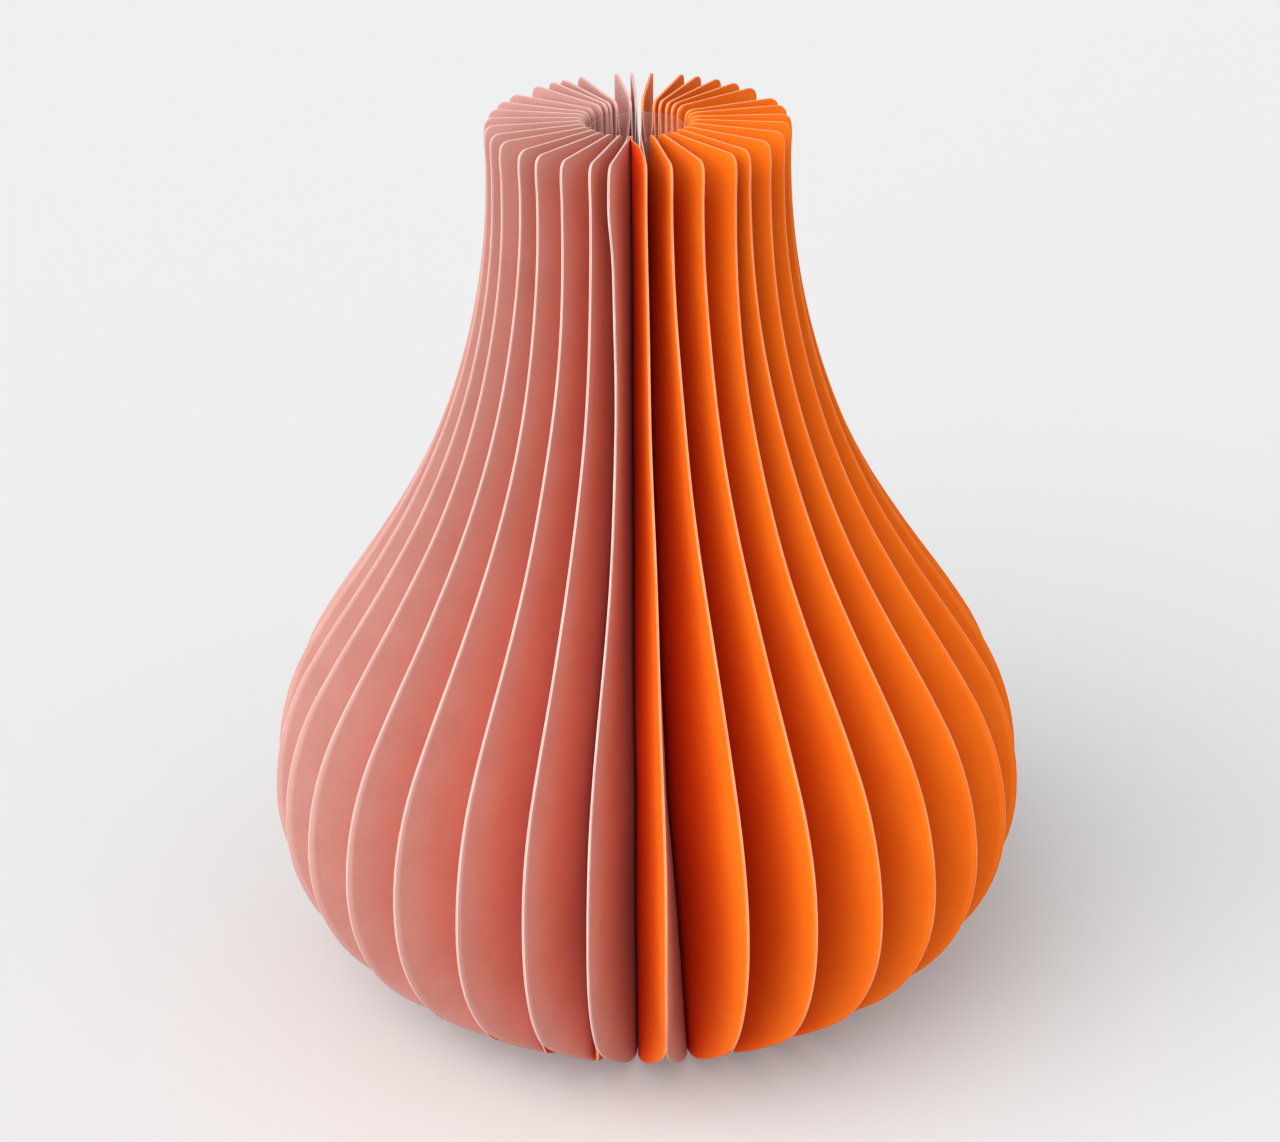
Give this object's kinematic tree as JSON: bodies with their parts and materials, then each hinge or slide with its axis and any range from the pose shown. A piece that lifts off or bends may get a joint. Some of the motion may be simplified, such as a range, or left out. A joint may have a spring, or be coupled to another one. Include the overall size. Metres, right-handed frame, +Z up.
{
  "type": "paper lantern",
  "caption": "Accordion paper lantern: pink and orange card leaves fan round a clear tube with a small battery light inside, and fold flat like a book.",
  "frame": {"origin": "on the centre line of the open lantern, at the surface it stands on", "axes": "+Z up along the centre line, -Y towards the front, where the covers meet, +X to the right"},
  "size_m": [0.2491, 0.249, 0.3],
  "materials": {
    "card_pink": "matt dyed card",
    "card_orange": "matt dyed card",
    "card_edge": "cut edge of card",
    "adhesive_tape": "double-sided tape",
    "clear_plastic": "clear sheet",
    "white_plastic": "satin moulding",
    "frosted_plastic": "frosted moulding",
    "led_lens": "clear epoxy",
    "circuit_board": "solder mask",
    "contact_brass": "pressed sheet",
    "cell_steel": "plated steel"
  },
  "bodies": {
    "front_cover": {"front_cover": "card_pink", "closing_tape": "adhesive_tape"},
    "leaf_01": {"leaf_01": "card_orange"},
    "leaf_02": {"leaf_02": "card_orange"},
    "leaf_03": {"leaf_03": "card_orange"},
    "leaf_04": {"leaf_04": "card_orange"},
    "leaf_05": {"leaf_05": "card_orange"},
    "leaf_06": {"leaf_06": "card_orange"},
    "leaf_07": {"leaf_07": "card_orange"},
    "leaf_08": {"leaf_08": "card_orange"},
    "leaf_09": {"leaf_09": "card_orange"},
    "leaf_10": {"leaf_10": "card_orange"},
    "leaf_11": {"leaf_11": "card_orange"},
    "leaf_12": {"leaf_12": "card_orange"},
    "leaf_13": {"leaf_13": "card_orange"},
    "leaf_14": {"leaf_14": "card_orange"},
    "leaf_15": {"leaf_15": "card_orange"},
    "leaf_16": {"leaf_16": "card_orange"},
    "leaf_17": {"leaf_17": "card_orange"},
    "leaf_18": {"leaf_18": "card_pink"},
    "leaf_19": {"leaf_19": "card_pink"},
    "leaf_20": {"leaf_20": "card_pink"},
    "leaf_21": {"leaf_21": "card_pink"},
    "leaf_22": {"leaf_22": "card_pink"},
    "leaf_23": {"leaf_23": "card_pink"},
    "leaf_24": {"leaf_24": "card_pink"},
    "leaf_25": {"leaf_25": "card_pink"},
    "leaf_26": {"leaf_26": "card_pink"},
    "leaf_27": {"leaf_27": "card_pink"},
    "leaf_28": {"leaf_28": "card_pink"},
    "leaf_29": {"leaf_29": "card_pink"},
    "leaf_30": {"leaf_30": "card_pink"},
    "leaf_31": {"leaf_31": "card_pink"},
    "leaf_32": {"leaf_32": "card_pink"},
    "leaf_33": {"leaf_33": "card_pink"},
    "leaf_34": {"leaf_34": "card_pink"},
    "back_cover": {"back_cover": "card_orange"},
    "clear_tube": {"clear_tube": "clear_plastic"},
    "light": {"light_base": "white_plastic", "light_diffuser": "frosted_plastic", "led": "led_lens", "circuit_board": "circuit_board", "battery_contact": "contact_brass", "coin_cell_lower": "cell_steel", "coin_cell_upper": "cell_steel"},
    "battery_cover": {"battery_cover": "white_plastic"},
    "switch_slider": {"switch_slider": "white_plastic"}
  },
  "joints": [
    {"name": "fold_01", "type": "hinge", "parent": "front_cover", "child": "leaf_01", "pos_m": [-0.00034, -0.00651, 0], "axis": [0, 0, 1], "range_deg": [-11, 0]},
    {"name": "fold_02", "type": "hinge", "parent": "leaf_01", "child": "leaf_02", "pos_m": [0.00064, -0.00445, 0], "axis": [0, 0, 1], "range_deg": [-11.51, 0]},
    {"name": "fold_03", "type": "hinge", "parent": "leaf_02", "child": "leaf_03", "pos_m": [0.00162, -0.00464, 0], "axis": [0, 0, 1], "range_deg": [-10.51, 0]},
    {"name": "fold_04", "type": "hinge", "parent": "leaf_03", "child": "leaf_04", "pos_m": [0.00235, -0.00407, 0], "axis": [0, 0, 1], "range_deg": [-11.01, 0]},
    {"name": "fold_05", "type": "hinge", "parent": "leaf_04", "child": "leaf_05", "pos_m": [0.00308, -0.00354, 0], "axis": [0, 0, 1], "range_deg": [-11.01, 0]},
    {"name": "fold_06", "type": "hinge", "parent": "leaf_05", "child": "leaf_06", "pos_m": [0.0037, -0.00289, 0], "axis": [0, 0, 1], "range_deg": [-11.01, 0]},
    {"name": "fold_07", "type": "hinge", "parent": "leaf_06", "child": "leaf_07", "pos_m": [0.00385, -0.00192, 0], "axis": [0, 0, 1], "range_deg": [-12.01, 0]},
    {"name": "fold_08", "type": "hinge", "parent": "leaf_07", "child": "leaf_08", "pos_m": [0.00434, -0.00114, 0], "axis": [0, 0, 1], "range_deg": [-11.51, 0]},
    {"name": "fold_09", "type": "hinge", "parent": "leaf_08", "child": "leaf_09", "pos_m": [0.00515, -0.00036, 0], "axis": [0, 0, 1], "range_deg": [-10.01, 0]},
    {"name": "fold_10", "type": "hinge", "parent": "leaf_09", "child": "leaf_10", "pos_m": [0.00427, 0.00052, 0], "axis": [0, 0, 1], "range_deg": [-12.01, 0]},
    {"name": "fold_11", "type": "hinge", "parent": "leaf_10", "child": "leaf_11", "pos_m": [0.00547, 0.00172, 0], "axis": [0, 0, 1], "range_deg": [-9.01, 0]},
    {"name": "fold_12", "type": "hinge", "parent": "leaf_11", "child": "leaf_12", "pos_m": [0.00271, 0.00158, 0], "axis": [0, 0, 1], "range_deg": [-16.51, 0]},
    {"name": "fold_13", "type": "hinge", "parent": "leaf_12", "child": "leaf_13", "pos_m": [0.00396, 0.00372, 0], "axis": [0, 0, 1], "range_deg": [-9.51, 0]},
    {"name": "fold_14", "type": "hinge", "parent": "leaf_13", "child": "leaf_14", "pos_m": [0.00397, 0.00508, 0], "axis": [0, 0, 1], "range_deg": [-8.01, 0]},
    {"name": "fold_15", "type": "hinge", "parent": "leaf_14", "child": "leaf_15", "pos_m": [0.00301, 0.00527, 0], "axis": [0, 0, 1], "range_deg": [-8.51, 0]},
    {"name": "fold_16", "type": "hinge", "parent": "leaf_15", "child": "leaf_16", "pos_m": [0.00276, 0.00683, 0], "axis": [0, 0, 1], "range_deg": [-7.01, 0]},
    {"name": "fold_17", "type": "hinge", "parent": "leaf_16", "child": "leaf_17", "pos_m": [0.00083, 0.00389, 0], "axis": [0, 0, 1], "range_deg": [-13.01, 0]},
    {"name": "fold_18", "type": "hinge", "parent": "leaf_17", "child": "leaf_18", "pos_m": [0.00026, 0.00737, 0], "axis": [0, 0, 1], "range_deg": [-7.01, 0]},
    {"name": "fold_19", "type": "hinge", "parent": "leaf_18", "child": "leaf_19", "pos_m": [-0.00067, 0.00857, 0], "axis": [0, 0, 1], "range_deg": [-6.01, 0]},
    {"name": "fold_20", "type": "hinge", "parent": "leaf_19", "child": "leaf_20", "pos_m": [-0.00086, 0.00312, 0], "axis": [0, 0, 1], "range_deg": [-16.01, 0]},
    {"name": "fold_21", "type": "hinge", "parent": "leaf_20", "child": "leaf_21", "pos_m": [-0.00315, 0.00612, 0], "axis": [0, 0, 1], "range_deg": [-7.51, 0]},
    {"name": "fold_22", "type": "hinge", "parent": "leaf_21", "child": "leaf_22", "pos_m": [-0.00569, 0.0086, 0], "axis": [0, 0, 1], "range_deg": [-5.01, 0]},
    {"name": "fold_23", "type": "hinge", "parent": "leaf_22", "child": "leaf_23", "pos_m": [-0.00415, 0.00494, 0], "axis": [0, 0, 1], "range_deg": [-8.01, 0]},
    {"name": "fold_24", "type": "hinge", "parent": "leaf_23", "child": "leaf_24", "pos_m": [-0.00307, 0.00253, 0], "axis": [0, 0, 1], "range_deg": [-13.01, 0]},
    {"name": "fold_25", "type": "hinge", "parent": "leaf_24", "child": "leaf_25", "pos_m": [-0.00399, 0.00206, 0], "axis": [0, 0, 1], "range_deg": [-11.51, 0]},
    {"name": "fold_26", "type": "hinge", "parent": "leaf_25", "child": "leaf_26", "pos_m": [-0.00548, 0.00168, 0], "axis": [0, 0, 1], "range_deg": [-9.01, 0]},
    {"name": "fold_27", "type": "hinge", "parent": "leaf_26", "child": "leaf_27", "pos_m": [-0.00488, 0.00062, 0], "axis": [0, 0, 1], "range_deg": [-10.51, 0]},
    {"name": "fold_28", "type": "hinge", "parent": "leaf_27", "child": "leaf_28", "pos_m": [-0.00516, -0.00027, 0], "axis": [0, 0, 1], "range_deg": [-10.01, 0]},
    {"name": "fold_29", "type": "hinge", "parent": "leaf_28", "child": "leaf_29", "pos_m": [-0.00479, -0.00113, 0], "axis": [0, 0, 1], "range_deg": [-10.51, 0]},
    {"name": "fold_30", "type": "hinge", "parent": "leaf_29", "child": "leaf_30", "pos_m": [-0.0045, -0.00198, 0], "axis": [0, 0, 1], "range_deg": [-10.51, 0]},
    {"name": "fold_31", "type": "hinge", "parent": "leaf_30", "child": "leaf_31", "pos_m": [-0.00387, -0.00266, 0], "axis": [0, 0, 1], "range_deg": [-11.01, 0]},
    {"name": "fold_32", "type": "hinge", "parent": "leaf_31", "child": "leaf_32", "pos_m": [-0.00346, -0.00349, 0], "axis": [0, 0, 1], "range_deg": [-10.51, 0]},
    {"name": "fold_33", "type": "hinge", "parent": "leaf_32", "child": "leaf_33", "pos_m": [-0.00263, -0.00389, 0], "axis": [0, 0, 1], "range_deg": [-11.01, 0]},
    {"name": "fold_34", "type": "hinge", "parent": "leaf_33", "child": "leaf_34", "pos_m": [-0.00194, -0.00452, 0], "axis": [0, 0, 1], "range_deg": [-10.51, 0]},
    {"name": "fold_back_cover", "type": "hinge", "parent": "leaf_34", "child": "back_cover", "pos_m": [-0.00173, -0.00735, 0], "axis": [0, 0, 1], "range_deg": [-9.51, 0]},
    {"name": "tube_lift", "type": "slide", "parent": "front_cover", "child": "clear_tube", "axis": [0, 0, 1], "range_m": [0, 0.31]},
    {"name": "light_lift", "type": "slide", "parent": "front_cover", "child": "light", "axis": [0, 0, 1], "range_m": [0, 0.31]},
    {"name": "battery_cover_turn", "type": "hinge", "parent": "light", "child": "battery_cover", "pos_m": [0, 0, 0], "axis": [0, 0, 1], "range_deg": [0, 30]},
    {"name": "switch_slide", "type": "slide", "parent": "light", "child": "switch_slider", "axis": [1, 0, 0], "range_m": [0, 0.0024]}
  ],
  "couplings": [
    {"joint": "fold_02", "follows": "fold_01", "ratio": 1.0455},
    {"joint": "fold_03", "follows": "fold_01", "ratio": 0.95455},
    {"joint": "fold_04", "follows": "fold_01", "ratio": 1},
    {"joint": "fold_05", "follows": "fold_01", "ratio": 1},
    {"joint": "fold_06", "follows": "fold_01", "ratio": 1},
    {"joint": "fold_07", "follows": "fold_01", "ratio": 1.0909},
    {"joint": "fold_08", "follows": "fold_01", "ratio": 1.0455},
    {"joint": "fold_09", "follows": "fold_01", "ratio": 0.90909},
    {"joint": "fold_10", "follows": "fold_01", "ratio": 1.0909},
    {"joint": "fold_11", "follows": "fold_01", "ratio": 0.81818},
    {"joint": "fold_12", "follows": "fold_01", "ratio": 1.5},
    {"joint": "fold_13", "follows": "fold_01", "ratio": 0.86364},
    {"joint": "fold_14", "follows": "fold_01", "ratio": 0.72727},
    {"joint": "fold_15", "follows": "fold_01", "ratio": 0.77273},
    {"joint": "fold_16", "follows": "fold_01", "ratio": 0.63636},
    {"joint": "fold_17", "follows": "fold_01", "ratio": 1.1818},
    {"joint": "fold_18", "follows": "fold_01", "ratio": 0.63636},
    {"joint": "fold_19", "follows": "fold_01", "ratio": 0.54545},
    {"joint": "fold_20", "follows": "fold_01", "ratio": 1.4545},
    {"joint": "fold_21", "follows": "fold_01", "ratio": 0.68182},
    {"joint": "fold_22", "follows": "fold_01", "ratio": 0.45455},
    {"joint": "fold_23", "follows": "fold_01", "ratio": 0.72727},
    {"joint": "fold_24", "follows": "fold_01", "ratio": 1.1818},
    {"joint": "fold_25", "follows": "fold_01", "ratio": 1.0455},
    {"joint": "fold_26", "follows": "fold_01", "ratio": 0.81818},
    {"joint": "fold_27", "follows": "fold_01", "ratio": 0.95455},
    {"joint": "fold_28", "follows": "fold_01", "ratio": 0.90909},
    {"joint": "fold_29", "follows": "fold_01", "ratio": 0.95455},
    {"joint": "fold_30", "follows": "fold_01", "ratio": 0.95455},
    {"joint": "fold_31", "follows": "fold_01", "ratio": 1},
    {"joint": "fold_32", "follows": "fold_01", "ratio": 0.95455},
    {"joint": "fold_33", "follows": "fold_01", "ratio": 1},
    {"joint": "fold_34", "follows": "fold_01", "ratio": 0.95455},
    {"joint": "fold_back_cover", "follows": "fold_01", "ratio": 0.86364}
  ]
}
